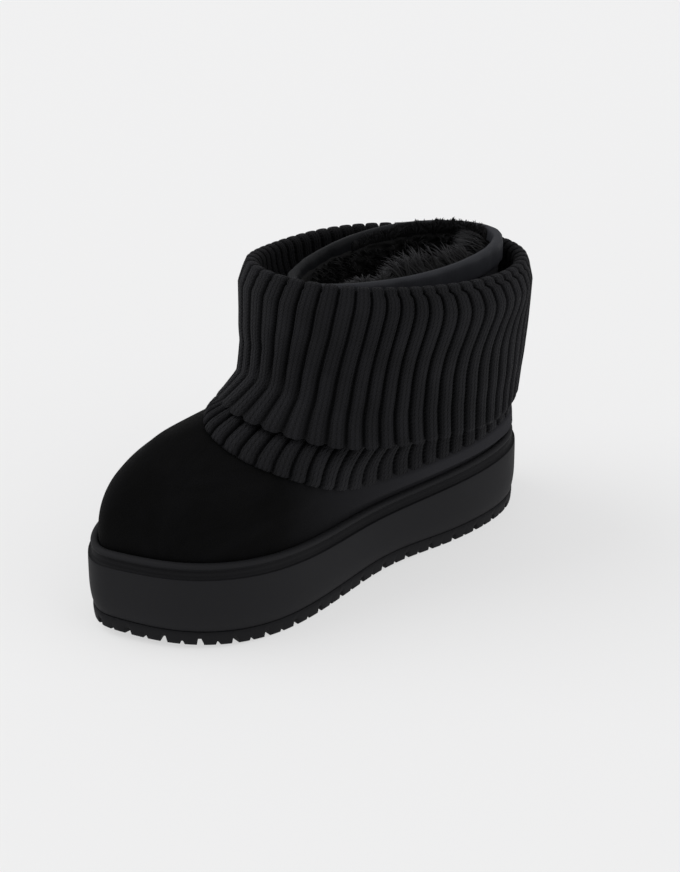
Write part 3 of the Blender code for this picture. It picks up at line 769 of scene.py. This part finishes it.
def makeLiningPile(cfg):
    # inner face of the bootie moved in by the pile's thickness and its clumps
    turn = (np.arange(cfg["columns"]) / cfg["columns"])[None, :]
    low, high = cfg["shares"]
    share = np.linspace(low, high, 90)[:, None]
    furry = 1 - turnBell(turn, *cfg["thinAt"])
    swell = cfg["thickness"] + cfg["clump"] * clumps(turn, share, cfg["seed"]) * furry
    ends = step01(low, low + 0.03, share) * (1 - step01(high - 0.03, high, share))
    depth = bootie["wall"] + cfg["clearance"] + np.maximum(swell, cfg["least"]) * (0.2 + 0.8 * ends)
    face = bootiePoint(turn, share) - bootieNormal(turn, share) * depth[..., None]
    backShare = np.linspace(high, low, 24)[:, None]
    back = bootiePoint(turn, backShare) - bootieNormal(turn, backShare) * (bootie["wall"] + cfg["clearance"] / 2)
    points = np.concatenate([back[::-1], face[::-1]])
    # painted shade: the pile's lightness is kept near zero, so the inside of the shaft is near black
    shade = np.clip(0.02 + 0.08 * clumps(turn, share, cfg["seed"]), 0, 1)[::-1]
    dark = np.zeros((len(backShare), cfg["columns"]))
    return dress(ringMesh("plush_lining", points, closedRows=True,
                          attributes={"tip": np.concatenate([dark, 0.5 * shade + 0.2]),
                                      "shade": np.concatenate([dark, shade])}), pile, "lining", "lining")


def lockGroup(cfg, group, rng):
    # Roots, spines and painted lightness of one group, which stands for light and shade. Each lock leaves along its
    # lean, gathered towards its clump, and droops with the square of the way along it.
    count, first, final, low, high, inwardLean, upLean, droop, light, lengths = group
    turn = rng.uniform(first, final, count)
    share = rng.uniform(low, high, count)
    root = bootiePoint(turn, share)
    inward = -bootieNormal(turn, share)
    root = root + inward * (bootie["wall"] + cfg["rootDepth"])
    sideways = bootiePoint(turn + 1e-3, share) - bootiePoint(turn - 1e-3, share)
    sideways /= np.linalg.norm(sideways, axis=-1, keepdims=True)
    up = np.array([0.0, 0.0, 1.0])
    gather = clumps(turn, share * 0.3, cfg["gatherSeed"])[:, None]
    lean = clumps(turn, share * 0.3, cfg["leanSeed"])[:, None]
    stops = np.linspace(first, final, len(lengths))
    length = np.interp(turn, stops, lengths)[:, None] * (1.0 + 0.28 * gather + rng.normal(0, 0.10, (count, 1)))
    aim = inward * inwardLean + up * (upLean + 0.15 * gather)
    aim = aim + sideways * (0.45 * lean + rng.normal(0, 0.10, (count, 1)))
    aim += rng.normal(0, 0.07, (count, 3))
    aim /= np.linalg.norm(aim, axis=-1, keepdims=True)
    s = np.linspace(0, 1, len(cfg["lockTaper"]))[None, :, None]
    curl = sideways * lean * 0.25 - up * droop
    root, aimed, curled, long = (part[:, None, :] for part in (root, aim, curl, length))
    spine = root + aimed * long * s + curled * long * s**2
    shade = np.clip(light + 0.30 * gather + rng.normal(0, 0.12, (count, 1)), 0, 1)
    return spine, aim, sideways, shade


def makeLocks(cfg):
    # tapered locks of three sides on the spines of every group, closed by a triangle at either end
    rng = np.random.default_rng(cfg["seed"] + 1)
    made = [lockGroup(cfg, group, rng) for group in cfg["groups"]]
    spine, aim, sideways, shade = (np.concatenate(column) for column in zip(*made))
    count, rings, sides = len(spine), len(cfg["lockTaper"]), 3
    sideA = np.cross(aim, sideways)
    sideA /= np.linalg.norm(sideA, axis=-1, keepdims=True)
    sideB = np.cross(aim, sideA)
    taper = np.array(cfg["lockTaper"])[None, :, None]
    width = cfg["lockWidth"] * rng.uniform(0.6, 1.2, (count, 1, 1)) * taper
    angle = np.arange(sides) * 2 * np.pi / sides
    ring = (np.cos(angle)[None, None, :, None] * sideA[:, None, None, :] * cfg["lockFlat"]
            + np.sin(angle)[None, None, :, None] * sideB[:, None, None, :])
    verts = (spine[:, :, None, :] + ring * width[..., None] / 2).reshape(-1, 3)
    base = np.arange(count) * rings * sides
    i = base[:, None, None, None] + np.arange(rings - 1)[None, :, None, None] * sides
    j = np.arange(sides)[None, None, :, None]
    k = (j + 1) % sides
    quads = np.concatenate([i + j, i + k, i + sides + k, i + sides + j], axis=-1).reshape(-1, 4)
    foot = base[:, None] + np.arange(sides)[::-1]
    top = base[:, None] + (rings - 1) * sides + np.arange(sides)
    mesh = bpy.data.meshes.new("plush_locks")
    mesh.from_pydata(verts.tolist(), [], quads.tolist() + foot.tolist() + top.tolist())
    addAttributes(mesh, {"tip": np.linspace(0, 1, rings)[None, :, None], "shade": shade[:, :, None]},
                  (count, rings, sides))
    mesh.shade_smooth()
    return dress(addObject("plush_locks", mesh), pile, "lining", "lining")


footbed = {"columns": 220, "thickness": 0.0045, "clearance": 0.0036, "edgeShare": 0.85, "capLength": 0.042,
           "fluff": 0.0009, "seed": 21}


def makeFootbed(cfg):
    # the insole's edge, then rows that run in to the sole's spine over soft clumps of pile
    turn = np.arange(cfg["columns"]) / cfg["columns"]
    inset = last["recessInset"] + last["gap"] + cfg["clearance"]
    edge = solePlan(turn, np.full_like(turn, inset))
    spine, middle = soleSpine(edge, last["soleLength"] / 2 - cfg["capLength"])
    floor = recessFloor(turn) + last["gap"]
    spineFloor = recessFloor(middle) + last["gap"]
    rows = [withHeight(edge, floor), withHeight(edge, floor + cfg["thickness"] * cfg["edgeShare"])]
    for inward in np.linspace(0.02, 1.0, 40):
        plan = edge * (1 - inward) + spine * inward
        level = floor * (1 - inward) + spineFloor * inward
        fluff = cfg["fluff"] * clumps(plan[:, 0] * 5, plan[:, 1] * 5, cfg["seed"])
        fluff = fluff * step01(0.0, 0.2, inward) * (1 - inward)
        rows.append(withHeight(plan, level + cfg["thickness"] + fluff))
    points = np.stack(rows)
    shade = np.clip(0.35 + 0.3 * clumps(points[..., 0] * 5, points[..., 1] * 5, cfg["seed"]), 0, 1)
    return dress(ringMesh("plush_footbed", points, capFirst=True, weld=True,
                          attributes={"tip": 0.5 * shade, "shade": shade}), pile, "lining", "insole")


makeLiningPile(lining)
makeLocks(lining)
makeFootbed(footbed)


# Collar tape

tape = {
    "columns": 420,
    # painted light and shade on the satin at each twelfth of the turn: lighter over the outer side and heel, where
    # light falls, and dark over the inner and front run as painted shade
    "paintedLight": (0.3, 0.6, 0.8, 0.8, 0.8, 0.9, 1.0, 0.6, 0.25, 0.05, 0.0, 0.1),
    "section": (
        # growth from the collar's outer face, rise from its rim
        (0.0003, -0.0095),
        (0.0013, -0.0097),
        (0.0019, -0.0086),
        (0.0019, -0.0050),
        (0.0018, -0.0008),
        (0.0012, 0.0010),
        (-0.0006, 0.0018),
        (-0.0026, 0.0016),
        (-0.0038, 0.0003),
        (-0.0043, -0.0030),
        (-0.0044, -0.0062),
        (-0.0038, -0.0070),
        (-0.0027, -0.0066),
    ),
    # the hidden corners that close the section over the collar's rim
    "inside": ((-0.0024, -0.0045), (-0.0024, 0.0002), (0.0001, 0.0002), (0.0002, -0.0060)),
    "outerFace": 0.0019,
    "innerFace": 0.0024,
    "run": 0.330,
}


def makeTape(cfg):
    # the folded section carried round the collar, with soft puckers where it turns
    turn = np.arange(cfg["columns"]) / cfg["columns"]
    section = smoothRows(cfg["section"], 3)
    section = np.concatenate([section, cfg["inside"]])
    rim = legLine(turn, leg["collar"])[:, 2]
    pucker = 0.00022 * np.sin(2 * np.pi * 31 * turn) + 0.00028 * np.sin(2 * np.pi * (13 * turn + 0.3))
    outerMost = np.clip(section[:, :1] / cfg["outerFace"], 0, 1)
    innerMost = np.clip((-section[:, :1] - cfg["innerFace"]) / 0.002, 0, 1)
    growth = section[:, :1] + pucker * (outerMost - innerMost)
    plan = legPlan(turn[None, :] + 0 * growth, leg["collar"], growth)
    height = rim + section[:, 1:] + 0.0006 * np.sin(2 * np.pi * (3 * turn + 0.1)) * (section[:, 1:] > -0.004)
    points = withHeight(plan, height)
    around = np.concatenate([turn, [1.0]]) * cfg["run"]
    along = np.concatenate([[0], np.cumsum(np.linalg.norm(np.diff(section, axis=0), axis=1))])
    # painted light along the tape: lighter at the heel and outer side, dark as painted shade at the front and inner
    # side
    paintedLight = np.clip(closedSpline(cfg["paintedLight"], turn), 0, 1)[None, :] + 0 * height
    piece = ringMesh("satin_tape", points, closedRows=True, uv=(around, along), attributes={"paintedLight": paintedLight})
    return dress(piece, satin, "tape", "collar_binding")


makeTape(tape)


# Ribbed knit

knit = {
    "ribs": 56,
    "perRib": 20,
    "thickness": 0.0032,
    "ribDepth": 0.0027,
    "grooveShare": 0.20,       # half width of a groove's slope as a share of half a rib
    "grooveOpens": 0.10,       # how much wider than that it is at the hem
    "bandGrooveShare": 0.25,
    "foldRoll": 0.0105,
    "bandGap": 0.0008,
    "cuffDepth": 0.078,
    "hemDepth": (0.848, 0.975, 1.00, 1.005, 0.98, 0.96, 0.96),
    "cuffPull": 0.010,
    "pull": (0.0, 0.0, 0.0, 0.1, 0.45, 0.45, 0.0),
    "pullStart": 0.35,
    "flare": 0.015,
    "kick": 0.0072,            # how far the hem kicks forward where it rests on the vamp
    "swell": 0.0028,           # fuller front inner corner of the cuff
    "sag": 0.0026,             # the fold's dip on the inner side
    # turn and half width of each of the three
    "kickAt": (0.018, 0.045),
    "swellAt": (0.92, 0.09),
    "sagAt": (0.83, 0.09),
    "scallop": 0.0010,
    "innerEnd": 0.30,
    # metres of knit up the band and up the inner ply, for the rows of stitches
    "bandRun": 0.060,
    "plyRun": 0.045,
    # drop as a share of the cuff's depth, then how far the face stands out in front, at the sides, behind,
    # as shares of the flare
    "sections": (
        (0.05, -0.10, -0.10, -0.12),
        (0.16, 0.10, 0.06, 0.00),
        (0.36, 0.12, 0.05, -0.05),
        (0.58, 0.18, 0.04, -0.06),
        (0.80, 0.52, 0.10, -0.06),
        (0.93, 1.10, 0.20, -0.03),
        (1.00, 1.45, 0.26, -0.02),
    ),
    # how far evenly counted ribs are shifted round the leg at each twelfth, in turns, toe to heel
    "cuffSpread": (0.0, 0.0219, 0.0085, -0.0045, -0.0090, -0.0047, 0.0),
    "bandSpread": (0.0, 0.0154, 0.0260, 0.0200, -0.0061, -0.0157, 0.0),
    # how far a rib has swung at each twelfth of the turn, in thousandths of a turn, for each drop
    "sway": (
        (0.00, (0, 0, 0, 0, 0, 0, 0, 0, 0, 0, 0, 0)),
        (0.10, (-2, -2, 3, 9, 11, 6, 0, -4, -8, -6, -2, 0)),
        (0.22, (-5, -6, 0, 11, 12, 6, 0, -5, -9, -6, 0, -1)),
        (0.34, (-7, -10, -5, 3, -3, 0, 0, -2, 0, 2, 5, -1)),
        (0.46, (-8, -15, -10, -5, -10, -6, -1, 4, 7, 7, 9, 0)),
        (0.60, (-7, -20, -14, -9, -10, -8, -1, 6, 9, 10, 13, 4)),
        (0.72, (-4, -22, -17, -10, -11, -10, -1, 8, 10, 12, 16, 8)),
        (0.85, (-1, -24, -20, -12, -15, -12, -1, 10, 13, 14, 18, 10)),
        (1.00, (-1, -24, -21, -14, -19, -15, -1, 13, 16, 16, 20, 12)),
    ),
    # the same for the band, in turns per share of its width
    "bandSway": (0.10, 0.085, 0.11, 0.09, 0.03, 0.02, 0.0, -0.02, -0.04, -0.08, -0.07, 0.02),
}


def ribPhases(cfg):
    # columns of one rib, closer together near its grooves, over all ribs; a whole number is a groove's middle
    phase = np.arange(cfg["perRib"]) / cfg["perRib"]
    phase = phase - 0.55 * np.sin(2 * np.pi * phase) / (2 * np.pi)
    return (np.arange(cfg["ribs"])[:, None] + phase[None, :]).ravel()


def spreadRibs(ribs, cfg, spread):
    # the turn of a counted rib: its even place plus a spline through the shifts, mirrored on the inner side
    even = ribs / cfg["ribs"]
    shifts = cfg[spread]
    return even + closedSpline(ringValues(shifts, [-v for v in shifts]), even)


def ribHeight(rib, share):
    # 0 in the groove's middle and 1 on the crest: one minus a steep bell of the distance to the groove, on a
    # crest that is slightly domed
    away = np.abs(np.mod(rib + 0.5, 1.0) - 0.5) * 2
    return (1 - np.exp(-((away / share) ** 2.6))) * (0.84 + 0.16 * np.sin(np.pi / 2 * away) ** 0.8)


def foldLine(turn, growth, cfg):
    # the oval of the fold with its swell, and the height of its crest with its sag
    swell = cfg["swell"] * turnBell(turn, *cfg["swellAt"])
    plan = legPlan(turn, leg["fold"], growth + swell, cfg["foldRoll"])
    crest = leg["fold"]["height"] + leg["fold"]["slope"] * (plan[..., 0] + leg["fold"]["setback"])
    return plan, crest - cfg["sag"] * turnBell(turn, *cfg["sagAt"])


def cuffFlare(turn, drop, cfg):
    # the sections' columns blended from front through sides to back by the squared cosine, less the pull at
    # the heel quarters, plus the kick over the vamp
    table = np.array(cfg["sections"])
    front, side, back = (np.interp(drop, table[:, 0], table[:, k]) for k in (1, 2, 3))
    c = np.cos(2 * np.pi * turn)
    flare = np.where(c > 0, side + (front - side) * c**2, side + (back - side) * c**2) * cfg["flare"]
    lower = max(drop - cfg["pullStart"], 0) / (1 - cfg["pullStart"])
    pull = closedSpline(ringValues(cfg["pull"]), turn) * cfg["cuffPull"] * lower**2
    kick = cfg["kick"] * turnBell(turn, *cfg["kickAt"]) * step01(0.72, 1.0, drop) ** 1.5
    return flare - pull + kick - cfg["swell"] * turnBell(turn, *cfg["swellAt"]) * step01(0.45, 0.85, drop)


def ribSway(turn, drop, cfg):
    # How far the ribs have swung round the leg as they hang: the table's rows blended by a smooth curve over
    # the drop, each row a spline round the leg
    table = smoothRows([(drop, *shifts) for drop, shifts in cfg["sway"]], 6)
    return closedSpline([np.interp(drop, table[:, 0], column) for column in table.T[1:]], turn) / 1000


def innerPly(turn, rise, growth, cfg):
    # from the suede at the ankle, rise 0, to the fold, rise 1: level with the rise, outward by a smooth cubic
    plan, crest = foldLine(turn, growth - cfg["foldRoll"] / 2, cfg)
    ankle = legLine(turn, leg["ankle"])[..., 2]
    height = ankle + rise * (crest - cfg["foldRoll"] / 2 - ankle)
    share = ankleShare(turn, height)
    near = bootiePoint(turn, share) + bootieNormal(turn, share) * np.asarray(cfg["bandGap"] + growth)[..., None]
    ease = rise * rise * (3 - 2 * rise)
    return withHeight(near[..., :2] + (plan - near[..., :2]) * ease, height)


def knitPiece(name, ribs, layers):
    # the layers' rows as one closed shell. Its UV counts ribs round it and metres of knit along it. Its crest
    # attribute paints the groove colour, as painted shade, into the grooves and over the inner plies
    rows, along, crest = zip(*layers)
    around = np.concatenate([ribs, [float(knit["ribs"])]])
    piece = ringMesh(name, np.concatenate(rows), closedRows=True, uv=(around, np.array(along)),
                     attributes={"crest": np.concatenate(crest)})
    return dress(piece, knitYarn, "knit", "knit_shaft")


def makeCuff(cfg):
    # Rows run up the outer face, over the fold, down the inner ply, back up its hidden face and down to the
    # hem. Each column follows its rib, so it sways with it.
    ribs = ribPhases(cfg)
    turn0 = spreadRibs(ribs, cfg, "cuffSpread")[None, :]
    h = ribHeight(ribs, cfg["grooveShare"])[None, :]
    deep, half = cfg["ribDepth"], cfg["foldRoll"] / 2
    layers = []

    def hang(drop, growth, scallop, crest):
        # the fold's oval grown by flare and growth, lowered by the drop's share of the hem's depth
        turn = turn0 + ribSway(turn0, drop, cfg)
        depth = cfg["cuffDepth"] * closedSpline(ringValues(cfg["hemDepth"]), turn)
        plan, top = foldLine(turn, half + cuffFlare(turn, drop, cfg) + growth, cfg)
        layers.append((withHeight(plan, top - drop * depth + scallop), (1 - drop) * cfg["cuffDepth"], crest))

    for drop in np.concatenate([[1.0, 0.995, 0.985], np.linspace(0.965, 0.06, 44)]):
        edge = step01(0.96, 1.0, drop)
        ribbed = ribHeight(ribs, cfg["grooveShare"] + cfg["grooveOpens"] * step01(0.2, 0.9, drop))[None, :]
        growth = (ribbed - 1) * deep * (1 - 0.35 * edge) - 0.0009 * edge**2
        hang(drop, growth, cfg["scallop"] * (1 - ribbed) * edge, ribbed)
    reach = layers[-1][1]
    for angle in np.linspace(28, 168, 13):
        a = math.radians(angle)
        roll = half + (h - 1) * deep * (1.0 - 0.35 * step01(60, 150, angle))
        plan, top = foldLine(turn0, roll * math.cos(a) - 0.0015 * bell(angle, 28, 30), cfg)
        layers.append((withHeight(plan, top - half + roll * math.sin(a)), reach + half * a,
                       h * (1 - step01(75, 140, angle))))
    reach = layers[-1][1]
    for rise in np.linspace(0.97, cfg["innerEnd"], 14):
        layers.append((innerPly(turn0, rise, (1 - h) * deep * 0.6, cfg), reach + (1 - rise) * cfg["plyRun"], 0 * h))
    for rise in np.linspace(cfg["innerEnd"], 0.85, 4):
        layers.append((innerPly(turn0, rise, cfg["thickness"], cfg), 0.0, 0 * h))
    plan, top = foldLine(turn0, 0.0, cfg)
    layers.append((withHeight(plan, top - cfg["thickness"]), 0.0, 0 * h))
    for drop in (0.16, 0.40, 0.65, 0.85, 0.95, 0.99):
        edge = step01(0.96, 1.0, drop)
        hang(drop, -cfg["thickness"] + 0.0006 * edge, cfg["scallop"] * (1 - h) * edge, 0.4 * h)
    return knitPiece("knit_cuff", ribs, layers)


def makeBand(cfg):
    # Rows run up the suede from the scalloped edge to the ankle and on up the inner ply, then back down
    # against the suede. Towards the heel the grooves run out before the edge and the crest sinks into the suede.
    ribs = ribPhases(cfg)
    turn0 = spreadRibs(ribs, cfg, "bandSpread")[None, :]
    h = ribHeight(ribs, cfg["bandGrooveShare"])[None, :]
    fanned = closedSpline(cfg["bandSway"], turn0)
    layers = []

    def lie(v, stand, groove, scallop, run):
        # a row at the share v of the band's width, out along the suede's normal by its stand less its grooves
        turn = turn0 - fanned * 0.3 * math.tanh(v / 0.3)
        edge = bandEdge(turn)
        heel = heelShare(turn)
        share = edge + (1 - edge) * v + scallop * (1 - h) * (1 - heel) - 0.012 * heel * (1 - step01(0.0, 0.1, v))
        plain = 1 - heel * (1 - step01(0.0, 0.06, v))
        away = np.maximum(stand(heel) - (1 - h) * groove * plain, 0.0006)
        layers.append((bootiePoint(turn, share) + bootieNormal(turn, share) * away[..., None], run,
                       1 - (1 - h) * plain))

    full = cfg["bandGap"] + cfg["thickness"]
    for v in np.concatenate([[0.0, 0.008, 0.02, 0.035], np.linspace(0.055, 1.0, 30)]):
        lip = step01(-0.01, 0.035, v)
        sunk = step01(0.0, 0.07, v)
        lie(v, lambda heel: full * ((0.55 + 0.45 * lip) * (1 - heel) + (0.72 + 0.28 * sunk) * heel),
            cfg["ribDepth"] * (0.6 + 0.4 * lip), 0.010 * (1 - step01(0.0, 0.05, v)), v * cfg["bandRun"])
    upper = turn0 - fanned * 0.3
    for rise in np.linspace(0.06, cfg["innerEnd"], 5):
        growth = cfg["thickness"] - (1 - h) * cfg["ribDepth"]
        layers.append((innerPly(upper, rise, growth, cfg), cfg["bandRun"] + rise * cfg["plyRun"], h))
    for rise in np.linspace(cfg["innerEnd"], 0.05, 4):
        layers.append((innerPly(upper, rise, 0.0, cfg), 0.0, 0 * h))
    for v in (1.0, 0.8, 0.6, 0.4, 0.2, 0.08, 0.0):
        lie(v, lambda heel: 0.0007 + 0 * heel, 0.0, 0.0, 0.0)
    return knitPiece("knit_band", ribs, layers)


makeCuff(knit)
makeBand(knit)


# Studio

studio = {
    "cameraAt": (0.4105, 0.4849, 0.3733),
    "aimAt": (-0.010, 0.004, 0.066),
    "lens": 55.2,
    "clip": (0.01, 50.0),
    "floor": "#959595",
    "floorReach": 12.0,
    "floorGlow": 0.58,         # painted light: the paper glows, which keeps its shadows faint
    "sky": "#f4f4f6",
    "skyStrength": 0.62,
    # each sun: strength, angle over which it is spread in degrees, the way towards it
    "suns": (
        ("key", 1.20, 50, (0.50, -0.62, 0.78)),
        ("fill", 0.62, 60, (-0.45, 0.62, 0.62)),
    ),
}


def makeStudio(cfg):
    # a square of glowing paper under the boot, an even sky, and a spread sun for each row of the table
    material = newMaterial("paleStudioPaper", Roughness=0.9, Specular_IOR_Level=0.1,
                           Base_Color=cfg["floor"], Emission_Color=(1.0, 1.0, 1.0, 1.0),
                           Emission_Strength=cfg["floorGlow"])[0]
    mesh = bpy.data.meshes.new("studio_floor")
    r = cfg["floorReach"]
    mesh.from_pydata([(-r, -r, 0), (r, -r, 0), (r, r, 0), (-r, r, 0)], [], [(0, 1, 2, 3)])
    mesh.materials.append(material)
    addObject("studio_floor", mesh)
    world = bpy.data.worlds.new("studio_world")
    bpy.context.scene.world = world
    world.use_nodes = True
    feed(world.node_tree.nodes["Background"], {"Color": cfg["sky"], "Strength": cfg["skyStrength"]})
    for name, strength, spread, way in cfg["suns"]:
        light = bpy.data.lights.new(name, "SUN")
        light.energy = strength
        light.angle = math.radians(spread)
        lamp = addObject(name, light)
        lamp.location = Vector(way)
        lamp.rotation_euler = (-Vector(way)).to_track_quat("-Z", "Y").to_euler()


def makeCamera(cfg):
    # a camera at its place that looks along the way to its aim
    data = bpy.data.cameras.new("camera")
    data.sensor_fit = "AUTO"
    data.sensor_width = 36.0
    data.lens = cfg["lens"]
    data.clip_start, data.clip_end = cfg["clip"]
    camera = addObject("camera", data)
    camera.location = cfg["cameraAt"]
    way = Vector(cfg["aimAt"]) - Vector(cfg["cameraAt"])
    camera.rotation_mode = "QUATERNION"
    camera.rotation_quaternion = way.to_track_quat("-Z", "Y")
    bpy.context.scene.camera = camera


makeStudio(studio)
makeCamera(studio)
bpy.context.scene.view_settings.view_transform = "Standard"
print("studio made")
